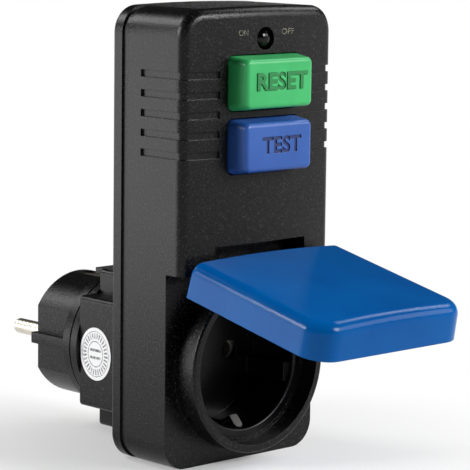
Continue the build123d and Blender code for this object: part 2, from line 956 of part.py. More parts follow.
bar_x = 13.0
bar_thickness = 1.0
bar_width = 3.0
bar_climb = 11.3
bar_run = 5.9
bar_end = 9.5
tail_radius = 2.0
tail_length = 11.0
lug_inset = 2.8
lug_thickness = 1.2
tail_start = flange_back - tail_length
lug_back = neck_inner - lug_inset
bar_turn = lug_back - bar_run
bar_rise = plug_height + bar_climb
bar_top = recess_height + bar_end


def supply_bar(side):
    """A copper bar from a plug pin's tail up to the board."""
    x = sorted((side * (bar_x - bar_thickness / 2), side * (bar_x + bar_thickness / 2)))
    half = bar_width / 2
    bar = block(x, (bar_turn - half, lug_back), (plug_height - half, plug_height + half))
    bar += block(x, (bar_turn - half, bar_turn + half), (plug_height - half, bar_rise + half))
    front = insert_back + gap
    bar += block(x, (front, bar_turn + half), (bar_rise - half, bar_rise + half))
    bar += block(x, (front, board_face), (bar_rise - half, bar_top))
    lug = block(
        sorted((side * (pin_x - pin_radius), side * (bar_x + bar_thickness / 2))),
        (lug_back - lug_thickness, lug_back),
        (plug_height - tail_radius - over, plug_height + tail_radius + over),
    )
    bar += lug
    return bar - rod_y(side * pin_x, plug_height, tail_radius + slip, 0, plug_face)


wire_radius = 1.0
wire_bend = 2.6
wire_core_x = 1.6
wire_above_core = 10.0
wire_drop = 1.6
wire_step = 5.0
wire_rise = 2.8
strap_half = 2.0


def load_wire(side):
    """An insulated wire from the board, through the ring core, to a socket sleeve."""
    x0 = side * wire_core_x
    x1 = side * pin_x
    y_core = core_middle[1]
    y_back = (insert_back + rear_inner) / 2
    tag_middle = insert_back + slip + receptacle_length - tag_width / 2
    tag_top = socket_height + (receptacle_outer + receptacle_bore) / 2 + tag_height
    z_board = core_height + wire_above_core
    z_turn = recess_height - wire_drop
    z_shift = z_turn - wire_step
    z_in = tag_top + wire_rise
    points = [
        (x0, board_face, z_board),
        (x0, y_core, z_board),
        (x0, y_core, z_turn),
        (x1, y_back, z_shift),
        (x1, y_back, z_in),
        (x1, tag_middle, z_in),
        (x1, tag_middle, tag_top),
    ]
    path = FilletPolyline(*points, radius=wire_bend)
    start = Plane(origin=path @ 0, z_dir=path % 0)
    return sweep(start * Circle(wire_radius), path=path)


def earth_strap():
    """The strip that joins the plug's earth bow to the socket's."""
    front = insert_back + clip_thickness * 1.5
    return block((-strap_half, strap_half), (front, bow_start), (plug_height - bar_thickness / 2, plug_height + bar_thickness / 2))


# Plug

earth_arm = 17.6
pin_neck_radius = 2.1
pin_recess_depth = 0.6
pin_rounding = 0.7
boss_wall = 2.0
post_wall = 1.7
front_wall = 3.0
earth_thickness = 1.0
earth_half = 3.0
bow_start = flange_back + gap
earth_inset = 1.8
earth_end = plug_face - earth_inset


def plug_body():
    """The plug's insulating body: flange, flats with a rib, pin bosses and earth slots."""
    body = rod_y(0, plug_height, plug_radius, plug_back - over, plug_face)
    for side in (-1, 1):
        flat = block(
            sorted((side * plug_flat, side * (plug_radius + over))),
            (plug_back - 2 * over, plug_face + over),
            (plug_height - plug_radius, plug_height + plug_radius),
        )
        flat -= block(
            sorted((side * plug_flat - side * over, side * (plug_radius + 2 * over))),
            (plug_back - 3 * over, plug_face + 2 * over),
            (plug_height - rib_half, plug_height + rib_half),
        )
        body -= flat
    body += rod_y(0, plug_height, flange_radius, flange_back, plug_back)
    body += rod_y(0, plug_height, spigot_radius, neck_back, flange_back)
    body -= rod_y(0, plug_height, plug_cavity, neck_back - over, plug_face - front_wall)
    boss = pin_radius + boss_wall
    for side in (-1, 1):
        body += rod_y(side * pin_x, plug_height, boss, flange_back, plug_face - front_wall / 2)
    for x, z in plug_screw_places:
        post = rod_y(x, z, plug_screw_shank + post_wall, neck_back, plug_back + plug_length / 3)
        body += post
        body -= rod_y(x, z, plug_screw_shank + slip, neck_back - over, plug_back + plug_length / 4)
    for side in (-1, 1):
        body -= rod_y(side * pin_x, plug_height, pin_neck_radius + slip, neck_back - over, plug_face + over)
        body -= rod_y(side * pin_x, plug_height, pin_radius + gap, plug_face - pin_recess_depth, plug_face + over)
    return body - earth_slots()


rib_half = 1.7


def earth_slots():
    """The channels that the earth bow lies in, open at top and bottom of the plug."""
    half = earth_half + slip
    inner = earth_arm - slip
    outer = earth_arm + earth_thickness + slip
    cuts = []
    for up in (-1, 1):
        tunnel = block(
            (-half, half),
            (bow_start - slip, earth_end + slip),
            sorted((plug_height + up * inner, plug_height + up * outer)),
        )
        window = block(
            (-half, half),
            (plug_back + over, earth_end + slip),
            sorted((plug_height + up * inner, plug_height + up * (plug_radius + over))),
        )
        step = block(
            (-half, half),
            (bow_start - slip, bow_start + earth_thickness + slip),
            sorted((plug_height + up * (plug_cavity - over), plug_height + up * outer)),
        )
        cuts += [tunnel, window, step]
    return cuts


def plug_earth_bow():
    """The earth contact across the plug, with an arm at top and bottom."""
    outer = earth_arm + earth_thickness
    bow = block(
        (-earth_half, earth_half), (bow_start, bow_start + earth_thickness), (plug_height - outer, plug_height + outer)
    )
    for up in (-1, 1):
        bow += block(
            (-earth_half, earth_half),
            (bow_start, earth_end),
            sorted((plug_height + up * earth_arm, plug_height + up * outer)),
        )
    return bow


def plug_pin(side):
    """A round contact pin with a rounded tip, a slightly thinner part in the plug and a tail."""
    x = side * pin_x
    tip = plug_face + pin_length
    pin = rod_y(x, plug_height, pin_radius, plug_face + slip, tip)
    pin = fillet(pin.edges().sort_by(Axis.Y)[-1], pin_rounding)
    pin += rod_y(x, plug_height, pin_neck_radius, flange_back, plug_face + 2 * slip)
    return pin + rod_y(x, plug_height, tail_radius, tail_start, flange_back)


def plug_screws():
    """Two screws that hold the plug to the neck."""
    head_height = 1.6
    screws = []
    for x, z in plug_screw_places:
        screw = rod_y(x, z, plug_screw_shank, neck_inner, plug_back + plug_length / 5)
        screw += rod_y(x, z, plug_screw_head, neck_inner - head_height, neck_inner)
        screws.append(screw)
    return screws


def label_sticker():
    """The thin oval label on the neck's left side."""
    half_long = 8.2
    half_deep = 7.2
    thickness = 0.12
    middle = neck_back - half_deep - gap
    oval = Pos(middle, neck_middle) * Ellipse(half_deep, half_long)
    return extrude(Plane.YZ.offset(-neck_half_width) * oval, amount=-thickness)


# Write the pieces

pieces = {
    "front_housing": front_housing(),
    "rear_housing": rear_housing(),
    "plug_neck": plug_neck(),
    "housing_seal": housing_seal(),
    "housing_screws": housing_screws(),
    "socket_insert": socket_insert(),
    "socket_earth_clip": socket_earth_clip(),
    "line_receptacle": socket_receptacle(-1),
    "neutral_receptacle": socket_receptacle(1),
    "socket_lid": socket_lid(),
    "lid_gasket": lid_gasket(),
    "hinge_pin": hinge_pin(),
    "reset_button": push_button(reset_height),
    "test_button": push_button(test_height),
    "reset_spring": button_spring(reset_height),
    "test_spring": button_spring(test_height),
    "mechanism_frame": mechanism_frame(),
    "contact_carriage": contact_carriage(),
    "armature": armature(),
    "moving_contacts": moving_contacts(),
    "fixed_contacts": fixed_contacts(),
    "opening_springs": opening_springs(),
    "magnet_yoke": magnet_yoke(),
    "coil_bobbin": coil_bobbin(),
    "coil_winding": coil_winding(),
    "indicator_lens": indicator_lens(),
    "indicator_lamp": indicator_lamp(),
    "test_leaf": test_leaf(),
    "test_resistor": test_resistor(),
    "circuit_board": circuit_board(),
    "sensing_core": sensing_core(),
    "sensing_winding": sensing_winding(),
    "control_chip": control_chip(),
    "surge_varistor": surge_varistor(),
    "smoothing_capacitor": smoothing_capacitor(),
    "small_resistors": small_resistors(),
    "line_supply_bar": supply_bar(-1),
    "neutral_supply_bar": supply_bar(1),
    "line_load_wire": load_wire(-1),
    "neutral_load_wire": load_wire(1),
    "earth_strap": earth_strap(),
    "plug_body": plug_body(),
    "line_pin": plug_pin(-1),
    "neutral_pin": plug_pin(1),
    "plug_earth_bow": plug_earth_bow(),
    "plug_screws": plug_screws(),
    "label_sticker": label_sticker(),
}

os.makedirs("parts", exist_ok=True)
to_origin = Location((0, -plug_face, -plug_height))
for name, shape in pieces.items():
    solids = []
    for item in shape if isinstance(shape, list) else [shape]:
        solids += [solid.moved(to_origin) for solid in item.solids()]
    export_step(solids[0] if len(solids) == 1 else Compound(children=solids), f"parts/{name}.step")
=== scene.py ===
import math

import bmesh
import bpy
import numpy as np
from mathutils import Matrix, Vector


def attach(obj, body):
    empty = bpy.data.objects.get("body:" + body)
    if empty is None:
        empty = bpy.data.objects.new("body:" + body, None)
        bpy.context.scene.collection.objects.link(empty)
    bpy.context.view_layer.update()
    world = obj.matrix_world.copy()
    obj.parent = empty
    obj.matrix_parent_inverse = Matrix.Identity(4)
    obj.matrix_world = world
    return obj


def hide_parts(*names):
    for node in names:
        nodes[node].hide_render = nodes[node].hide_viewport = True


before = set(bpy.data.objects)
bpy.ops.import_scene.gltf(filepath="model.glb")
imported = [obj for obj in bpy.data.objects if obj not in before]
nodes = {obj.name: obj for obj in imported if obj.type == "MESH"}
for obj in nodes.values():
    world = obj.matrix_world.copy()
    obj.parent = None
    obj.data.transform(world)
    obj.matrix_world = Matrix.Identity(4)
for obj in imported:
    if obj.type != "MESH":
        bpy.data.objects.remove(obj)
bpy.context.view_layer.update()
print("stage: frame loaded", len(nodes), "nodes")

# The origin is the middle of the plug's face; Y runs out along the pins and Z runs up.
mm = 0.001
plugFace = 81.8  # behind the housing's front side edges
plugHeight = 28.2  # above the housing's foot


def place(x, y, z):
    # a point given across, behind the front side edges and above the foot, in millimetres
    return Vector((x * mm, (y - plugFace) * mm, (z - plugHeight) * mm))


# Materials

def hexLinear(code):
    # sRGB hex to linear light, channel by channel
    parts = [int(code[i:i + 2], 16) / 255 for i in (1, 3, 5)]
    return [c / 12.92 if c <= 0.04045 else ((c + 0.055) / 1.055) ** 2.4 for c in parts] + [1.0]


def addNode(mat, kind, settings=None, links=None):
    # one node: settings go on sockets, properties or a ramp's (place, hex) stops,
    # and links come in from (node, output)
    node = mat.node_tree.nodes.new(kind)
    for name, value in (settings or {}).items():
        if name == "stops":
            for element, (where, code) in zip(node.color_ramp.elements, value):
                element.position = where
                element.color = hexLinear(code)
        elif isinstance(name, int) or name in node.inputs:
            node.inputs[name].default_value = value
        else:
            setattr(node, name, value)
    for name, (source, output) in (links or {}).items():
        mat.node_tree.links.new(source.outputs[output], node.inputs[name])
    return node


def newMaterial(name):
    mat = bpy.data.materials.new(name)
    mat.use_nodes = True
    mat.node_tree.nodes.clear()
    return mat


def finishMaterial(mat, shader, output="BSDF"):
    addNode(mat, "ShaderNodeOutputMaterial", links={"Surface": (shader, output)})
    return mat


# what a plastic has where its own row says nothing else
plasticPlain = dict(
    ior=1.46, speckDark="#7b7b7b", speckLight="#868686", speck=0.3, speckSpan=(0.34, 0.66), blend="OVERLAY",
    grainNoise={"Detail": 3.0, "Roughness": 0.62}, driftNoise={"Detail": 3.0, "Roughness": 0.55},
    toneSpan=(0.30, 0.72), glossSpan=(0.3, 0.7), roughSwing=0.05, edgeMm=0.25, edgeSamples=6)
plasticLooks = {
    # black ABS from a spark-eroded mould: dull black with fine bright specks, painted glints where the
    # grain would catch the light.
    # The real grain is a few tenths of a millimetre and is drawn at 0.6 mm, so that it shows
    "mouldedBlackAbs": dict(
        ior=1.3, dark="#060606", light="#090909", speckDark="#000000", speckLight="#3a3837", speck=1.0,
        blend="ADD", speckSpan=(0.54, 0.76), grainMm=0.6, driftMm=38, rough=0.28, roughSwing=0.03,
        bump=0.9, bumpMm=0.09),
    # black polyamide of the socket's bowl, from a polished mould: smooth, and a little darker than the
    # housing's black as painted shade in the recess
    "polishedBlackPolyamide": dict(
        ior=1.3, dark="#030303", light="#060607", speckDark="#777777", speckLight="#888888", speck=0.2,
        grainMm=1.2, driftMm=20, rough=0.27, roughSwing=0.04, bump=0.05, bumpMm=0.02),
    # blue polypropylene lid from a lightly blasted mould: a soft satin with broad highlights
    "satinBluePolypropylene": dict(
        ior=1.22, dark="#0056a2", light="#0061ae", speck=0.35, grainMm=0.6, driftMm=26, rough=0.17,
        roughSwing=0.02, bump=0.45, bumpMm=0.04),
    # blue ABS of the TEST key: an even, soft sheen
    "mouldedBlueAbs": dict(
        dark="#2a5caf", light="#3466bb", grainMm=0.4, driftMm=12, rough=0.38, roughSwing=0.04,
        bump=0.2, bumpMm=0.03),
    # green ABS of the RESET key: the same sheen
    "mouldedGreenAbs": dict(
        dark="#36bb69", light="#42c572", grainMm=0.4, driftMm=12, rough=0.38, roughSwing=0.04,
        bump=0.2, bumpMm=0.03),
    # natural polyamide of the guide frame and the reel: milky white, half matt
    "mouldedWhitePolyamide": dict(
        dark="#dedcd2", light="#e8e6dd", speckLight="#858585", grainMm=0.6, driftMm=10, rough=0.45,
        bump=0.15, bumpMm=0.03),
    # black chloroprene seals: matt from the moulding powder
    "mouldedBlackRubber": dict(
        dark="#141414", light="#1c1b1a", speckDark="#6a6a6a", speckLight="#8c8c8c", speck=0.4,
        grainMm=0.5, driftMm=9, rough=0.72, roughSwing=0.06, bump=0.3, bumpMm=0.05),
    # glass-fibre laminate under green lacquer: mottled by the weave below the shine
    "lacqueredGreenLaminate": dict(
        dark="#0e4a26", light="#14572e", speckDark="#6c6c6c", speckLight="#909090", speck=0.5,
        grainMm=0.9, driftMm=14, rough=0.32, bump=0.2, bumpMm=0.03),
    # black epoxy of the chip and sleeve of the can: dark grey, half matt
    "mouldedBlackEpoxy": dict(
        dark="#191a1c", light="#212226", speckDark="#6c6c6c", speckLight="#8d8d8d", speck=0.4,
        grainMm=0.3, driftMm=4, rough=0.5, bump=0.2, bumpMm=0.02),
    # blue lacquer that the disc was dipped in: glossy with slow waves
    "dippedBlueLacquer": dict(
        dark="#163f8e", light="#1d4ba0", grainMm=0.8, driftMm=5, rough=0.3, bump=0.15, bumpMm=0.04),
    # tan lacquer that the resistors were dipped in
    "dippedTanLacquer": dict(
        dark="#b08c5c", light="#c09c6a", grainMm=0.6, driftMm=4, rough=0.35, bump=0.15, bumpMm=0.03),
    # sintered ferrite of the ring core: dull dark grey with paler grains
    "sinteredFerrite": dict(
        dark="#1d1d20", light="#29292c", speckDark="#606060", speckLight="#9a9a9a", speck=0.5,
        grainMm=0.5, driftMm=6, rough=0.6, bump=0.4, bumpMm=0.05),
    # extruded PVC of the wires, brown and blue: smooth with a soft shine
    "extrudedBrownPvc": dict(
        dark="#4a2a18", light="#57341f", grainMm=0.5, driftMm=6, rough=0.4, bump=0.1, bumpMm=0.02),
    "extrudedBluePvc": dict(
        dark="#123f94", light="#1a4ca6", grainMm=0.5, driftMm=6, rough=0.4, bump=0.1, bumpMm=0.02),
    # red epoxy of the lamp, cast in a polished mould: glossy
    "castRedEpoxy": dict(
        dark="#7c1410", light="#8e1c16", speck=0.2, grainMm=0.5, driftMm=4, rough=0.15, roughSwing=0.03,
        bump=0.05, bumpMm=0.02),
    # smoked acrylic of the lamp window: near black, glossy
    "smokedAcrylic": dict(
        ior=1.3, dark="#040404", light="#060606", speckDark="#808080", speckLight="#858585", speck=0.1,
        grainMm=0.8, driftMm=4, rough=0.06, roughSwing=0.02, bump=0.02, bumpMm=0.01),
}


def mouldedPlastic(name, look):
    # a moulded or cast plastic: an even skin with fine grain and slow drifts of tone and shine
    # where the melt flowed; the edges are eased as a mould eases them
    look = plasticPlain | look
    mat = newMaterial(name)
    point = {"Vector": (addNode(mat, "ShaderNodeTexCoord"), "Object")}
    grain = addNode(mat, "ShaderNodeTexNoise",
                    {"Scale": 1 / (look["grainMm"] * mm), **look["grainNoise"]}, point)
    drift = addNode(mat, "ShaderNodeTexNoise",
                    {"Scale": 1 / (look["driftMm"] * mm), **look["driftNoise"]}, point)
    base = addNode(mat, "ShaderNodeValToRGB",
                   {"stops": zip(look["toneSpan"], (look["dark"], look["light"]))},
                   {"Fac": (drift, "Fac")})
    # the grain as specks in the colour; where a row adds bright specks (the black ABS) they are painted
    # glints of the grain
    speck = addNode(mat, "ShaderNodeValToRGB",
                    {"stops": zip(look["speckSpan"], (look["speckDark"], look["speckLight"]))},
                    {"Fac": (grain, "Fac")})
    colour = addNode(mat, "ShaderNodeMix",
                     {"data_type": "RGBA", "blend_type": look["blend"], 0: look["speck"]},
                     {6: (base, "Color"), 7: (speck, "Color")})
    low, high = look["glossSpan"]
    rough, swing = look["rough"], look["roughSwing"]
    shine = addNode(mat, "ShaderNodeMapRange",
                    {"From Min": low, "From Max": high, "To Min": rough - swing, "To Max": rough + swing},
                    {"Value": (drift, "Fac")})
    eased = addNode(mat, "ShaderNodeBevel", {"samples": look["edgeSamples"], "Radius": look["edgeMm"] * mm})
    bump = addNode(mat, "ShaderNodeBump", {"Strength": look["bump"], "Distance": look["bumpMm"] * mm},
                   {"Height": (grain, "Fac"), "Normal": (eased, "Normal")})
    shader = addNode(mat, "ShaderNodeBsdfPrincipled", {"IOR": look["ior"]},
                     {"Base Color": (colour, 2), "Roughness": (shine, "Result"),
                      "Normal": (bump, "Normal")})
    return finishMaterial(mat, shader)


metalPlain = dict(
    lineNoise={"Detail": 4.0, "Roughness": 0.6}, stainNoise={"Detail": 4.0}, stainSpan=(0.32, 0.68),
    glossSpan=(0.25, 0.75), glossShare=(0.7, 1.3), bump=0.15, bumpMm=0.02)
metalLooks = {
    # nickel over turned brass: warm and bright, with fine rings across the pin
    "turnedNickelPlate": dict(
        dark="#c9c2b4", light="#e2dccf", stretch=(0.15, 1.0, 0.15), lineMm=0.35, stainMm=5, rough=0.34),
    # zinc-plated steel: a cool grey shimmer
    "zincPlatedSteel": dict(
        dark="#9a9da0", light="#b4b7ba", stretch=(1.0, 0.2, 1.0), lineMm=0.3, stainMm=3, rough=0.3),
    # drawn spring wire: darker grey with fine lines
    "drawnSpringSteel": dict(
        dark="#8a8c8f", light="#a3a5a8", stretch=(1.0, 1.0, 0.3), lineMm=0.2, stainMm=2, rough=0.28),
    # rolled brass strip: yellow with fine lines
    "rolledBrass": dict(
        dark="#b18a3c", light="#c9a357", stretch=(1.0, 0.1, 1.0), lineMm=0.3, stainMm=5, rough=0.3),
    # drawn copper bar and wire: reddish with fine lines
    "drawnCopper": dict(
        dark="#b56a45", light="#cf8058", stretch=(1.0, 0.1, 1.0), lineMm=0.3, stainMm=5, rough=0.3),
}


def bareMetal(name, look):
    # plated, rolled or drawn metal: fine lines along one axis and a little tarnish
    look = metalPlain | look
    mat = newMaterial(name)
    point = {"Vector": (addNode(mat, "ShaderNodeTexCoord"), "Object")}
    along = {"Vector": (addNode(mat, "ShaderNodeMapping", {"Scale": look["stretch"]}, point), "Vector")}
    lines = addNode(mat, "ShaderNodeTexNoise",
                    {"Scale": 1 / (look["lineMm"] * mm), **look["lineNoise"]}, along)
    stain = addNode(mat, "ShaderNodeTexNoise",
                    {"Scale": 1 / (look["stainMm"] * mm), **look["stainNoise"]}, point)
    colour = addNode(mat, "ShaderNodeValToRGB",
                     {"stops": zip(look["stainSpan"], (look["dark"], look["light"]))},
                     {"Fac": (stain, "Fac")})
    low, high = look["glossSpan"]
    bright, dull = look["glossShare"]
    shine = addNode(mat, "ShaderNodeMapRange",
                    {"From Min": low, "From Max": high,
                     "To Min": look["rough"] * bright, "To Max": look["rough"] * dull},
                    {"Value": (lines, "Fac")})
    bump = addNode(mat, "ShaderNodeBump", {"Strength": look["bump"], "Distance": look["bumpMm"] * mm},
                   {"Height": (lines, "Fac")})
    shader = addNode(mat, "ShaderNodeBsdfPrincipled", {"Metallic": 1.0},
                     {"Base Color": (colour, "Color"), "Roughness": (shine, "Result"),
                      "Normal": (bump, "Normal")})
    return finishMaterial(mat, shader)


materials = {name: mouldedPlastic(name, look) for name, look in plasticLooks.items()}
materials |= {name: bareMetal(name, look) for name, look in metalLooks.items()}
print("stage: materials made", len(materials))

dress = {
    "mouldedBlackAbs": ["front_housing", "rear_housing", "plug_neck", "plug_body"],
    "polishedBlackPolyamide": ["socket_insert"],
    "satinBluePolypropylene": ["socket_lid"],
    "mouldedBlueAbs": ["test_button"],
    "mouldedGreenAbs": ["reset_button"],
    "mouldedWhitePolyamide": ["mechanism_frame", "contact_carriage", "coil_bobbin"],
    "mouldedBlackRubber": ["housing_seal", "lid_gasket"],
    "lacqueredGreenLaminate": ["circuit_board"],
    "mouldedBlackEpoxy": ["control_chip", "smoothing_capacitor"],
    "dippedBlueLacquer": ["surge_varistor"],
    "dippedTanLacquer": ["test_resistor", "small_resistors"],
    "sinteredFerrite": ["sensing_core"],
    "extrudedBrownPvc": ["line_load_wire"],
    "extrudedBluePvc": ["neutral_load_wire"],
    "castRedEpoxy": ["indicator_lamp"],
    "smokedAcrylic": ["indicator_lens"],
    "turnedNickelPlate": ["line_pin", "neutral_pin", "socket_earth_clip", "plug_earth_bow",
                          "line_receptacle", "neutral_receptacle"],
    "zincPlatedSteel": ["housing_screws", "hinge_pin", "plug_screws", "armature", "magnet_yoke"],
    "drawnSpringSteel": ["reset_spring", "test_spring", "opening_springs"],
    "rolledBrass": ["test_leaf"],
    "drawnCopper": ["coil_winding", "sensing_winding", "moving_contacts", "fixed_contacts",
                    "line_supply_bar", "neutral_supply_bar", "earth_strap"],
}


def dressNode(name, mat):
    slots = nodes[name].data.materials
    slots.clear()
    slots.append(mat)


for finish, names in dress.items():
    for name in names:
        dressNode(name, materials[finish])


# Push keys, with their word sunk into the front

keyLook = {
    # each key's second colour is a darker copy of it: painted shade in the letters' sunk floor
    "resetKey": dict(
        node="reset_button", body="reset_key", slot="green_key", word="RESET", middle=(0.75, 114.4),
        wide=20.3, high=5.2, finish="mouldedGreenAbs", sunkShadeFinish="sunkShadeGreenAbs", sunkShadeHex="#198542"),
    "testKey": dict(
        node="test_button", body="test_key", slot="blue_key", word="TEST", middle=(0.9, 95.9),
        wide=15.8, high=4.95, finish="mouldedBlueAbs", sunkShadeFinish="sunkShadeBlueAbs", sunkShadeHex="#102a66"),
}
letterLook = dict(deep=0.3, keyFront=-9.1, bold=0.03, rough=0.55)
fontMade = dict(extrude=0.5, curveSteps=4)  # in the font's own units, before a word gets its size
mergeGap = 0.002  # millimetres


def points(mesh):
    co = np.zeros(len(mesh.vertices) * 3)
    mesh.vertices.foreach_get("co", co)
    return co.reshape(-1, 3)


def setPoints(mesh, co):
    mesh.vertices.foreach_set("co", co.astype(np.float32).ravel())
    mesh.update()


def linked(name, data):
    obj = bpy.data.objects.new(name, data)
    bpy.context.scene.collection.objects.link(obj)
    return obj


def evaluatedMesh(obj):
    bpy.context.view_layer.update()
    return bpy.data.meshes.new_from_object(obj.evaluated_get(bpy.context.evaluated_depsgraph_get()))


def wordMesh(name, word, size, bold=0.0):
    # a word in the built-in font as a mesh of this width, height and depth in millimetres,
    # with its middle at the origin, facing -Y
    curve = bpy.data.curves.new(name + "Curve", "FONT")
    curve.body = word
    curve.align_x = "CENTER"
    curve.offset = bold
    curve.extrude = fontMade["extrude"]
    curve.resolution_u = fontMade["curveSteps"]
    text = linked(name + "Text", curve)
    mesh = evaluatedMesh(text)
    bpy.data.objects.remove(text)
    co = points(mesh)
    low, top = co.min(0), co.max(0)
    co = (co - (low + top) / 2) / (top - low) * [length * mm for length in size]
    setPoints(mesh, np.stack([co[:, 0], -co[:, 2], co[:, 1]], 1))  # the text's Z becomes -Y
    return mesh


def merge(mesh, turnOut=False):
    # doubled corners become one, and the faces are turned outwards where asked
    work = bmesh.new()
    work.from_mesh(mesh)
    bmesh.ops.remove_doubles(work, verts=work.verts, dist=mergeGap * mm)
    if turnOut:
        bmesh.ops.recalc_face_normals(work, faces=work.faces)
    work.to_mesh(mesh)
    work.free()


def sunkShadeMaterial(look):
    # the same plastic in the letters' sunk floor, painted darker: painted shade of the recess
    sunk = dict(dark=look["sunkShadeHex"], light=look["sunkShadeHex"], rough=letterLook["rough"])
    return mouldedPlastic(look["sunkShadeFinish"], plasticLooks[look["finish"]] | sunk)


def wordCutter(name, look):
    # the word as a solid through the key's front, as deep in front of it as behind it
    size = (look["wide"], look["high"], 2 * letterLook["deep"])
    mesh = wordMesh(name + "Word", look["word"], size, letterLook["bold"])
    across, height = look["middle"]
    mesh.transform(Matrix.Translation(place(across, letterLook["keyFront"], height)))
    merge(mesh, turnOut=True)
    mesh.materials.clear()
    mesh.materials.append(sunkShadeMaterial(look))
    return linked(name + "Cutter", mesh)


def sunkWordKey(name, look):
    # the CAD key's loose triangles merged into one skin, with the word cut out of it
    mesh = nodes[look["node"]].data.copy()
    mesh.name = name
    merge(mesh)
    key = linked(name, mesh)
    cutter = wordCutter(name, look)
    cut = key.modifiers.new("word", "BOOLEAN")
    cut.operation = "DIFFERENCE"
    cut.solver = "EXACT"
    cut.material_mode = "TRANSFER"
    cut.object = cutter
    worked = evaluatedMesh(key)
    key.modifiers.clear()
    key.data = worked
    bpy.data.objects.remove(cutter)
    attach(key, look["body"])
    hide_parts(look["node"])


for name, look in keyLook.items():
    sunkWordKey(name, look)
print("stage: keys cut")


# Small pad-printed marks beside the lamp window

# each word has its place across and above the foot, and its width
markLook = dict(words=(("ON", -8.6, 128.2, 3.6), ("OFF", 9.3, 128.2, 5.4)), high=1.7, thick=0.04,
                hex="#8f8a72", wornHex="#3a3934", wornSpan=(0.42, 0.6), wearMm=0.5, detail=3.0, rough=0.6)
housingFront = dict(crown=2.6, halfWidth=30.0)


def padPrint():
    # worn ivory pad-printing ink, thin enough that the black shows through
    look = markLook
    mat = newMaterial("padPrintInk")
    point = {"Vector": (addNode(mat, "ShaderNodeTexCoord"), "Object")}
    wear = addNode(mat, "ShaderNodeTexNoise",
                   {"Scale": 1 / (look["wearMm"] * mm), "Detail": look["detail"]}, point)
    colour = addNode(mat, "ShaderNodeValToRGB",
                     {"stops": zip(look["wornSpan"], (look["wornHex"], look["hex"]))},
                     {"Fac": (wear, "Fac")})
    shader = addNode(mat, "ShaderNodeBsdfPrincipled", {"Roughness": look["rough"]},
                     {"Base Color": (colour, "Color")})
    return finishMaterial(mat, shader)


def printedMarks():
    ink = padPrint()
    for word, x, z, wide in markLook["words"]:
        mesh = wordMesh("mark" + word, word, (wide, markLook["high"], markLook["thick"]))
        co = points(mesh)
        across = co[:, 0] / mm + x
        # each point is pushed forward onto the crowned front: y = -crown (1 - (x / half width) squared)
        co[:, 1] -= housingFront["crown"] * (1 - (across / housingFront["halfWidth"]) ** 2) * mm
        setPoints(mesh, co + np.array(place(x, 0, z)))
        mesh.materials.append(ink)
        obj = linked("mark" + word, mesh)
        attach(obj, "housing")


printedMarks()


# Oval label on the neck, with a plain ring of ticks

# radii are shares of the label's half sizes: the ring of ticks, two thin rings, and the rules in the heart
labelLook = dict(side=-20, middle=(49.7, 27.6), halfDeep=7.2, halfHigh=8.2, paperHex="#e8e8e9",
                 inkHex="#505358", ticks=30, tickShare=0.5, tickRing=(0.58, 0.80),
                 thinRings=((0.46, 0.50), (0.84, 0.87)), heart=(0.0, 0.38), ruleScale=1.1, ruleEdge=0.72,
                 smudgeMm=0.7, detail=3.0, smudgeSpan=(0.35, 0.6), inkLeft=(0.35, 1.0), rough=0.42)


def ringShare(mat, radius, span):
    # 1 between two radii, 0 elsewhere
    low, high = span
    given = {0: (radius, "Value")}
    above = addNode(mat, "ShaderNodeMath", {"operation": "GREATER_THAN", 1: low}, given)
    below = addNode(mat, "ShaderNodeMath", {"operation": "LESS_THAN", 1: high}, given)
    return addNode(mat, "ShaderNodeMath", {"operation": "MULTIPLY"},
                   {0: (above, "Value"), 1: (below, "Value")})


def labelTicks(mat, look, moved):
    # the angle round the middle, cut into equal parts, each dark over a share of its width
    split = addNode(mat, "ShaderNodeSeparateXYZ", links={"Vector": (moved, "Vector")})
    angle = addNode(mat, "ShaderNodeMath", {"operation": "ARCTAN2"}, {0: (split, "Z"), 1: (split, "Y")})
    turns = addNode(mat, "ShaderNodeMath", {"operation": "MULTIPLY", 1: look["ticks"] / (2 * math.pi)},
                    {0: (angle, "Value")})
    part = addNode(mat, "ShaderNodeMath", {"operation": "FRACT"}, {0: (turns, "Value")})
    return addNode(mat, "ShaderNodeMath", {"operation": "LESS_THAN", 1: look["tickShare"]},
                   {0: (part, "Value")})


def labelRules(mat, look, moved):
    # level rules, dark where a wave along Z is high
    wave = addNode(mat, "ShaderNodeTexWave",
                   {"wave_type": "BANDS", "bands_direction": "Z", "Scale": look["ruleScale"]},
                   {"Vector": (moved, "Vector")})
    return addNode(mat, "ShaderNodeMath", {"operation": "GREATER_THAN", 1: look["ruleEdge"]},
                   {0: (wave, "Fac")})


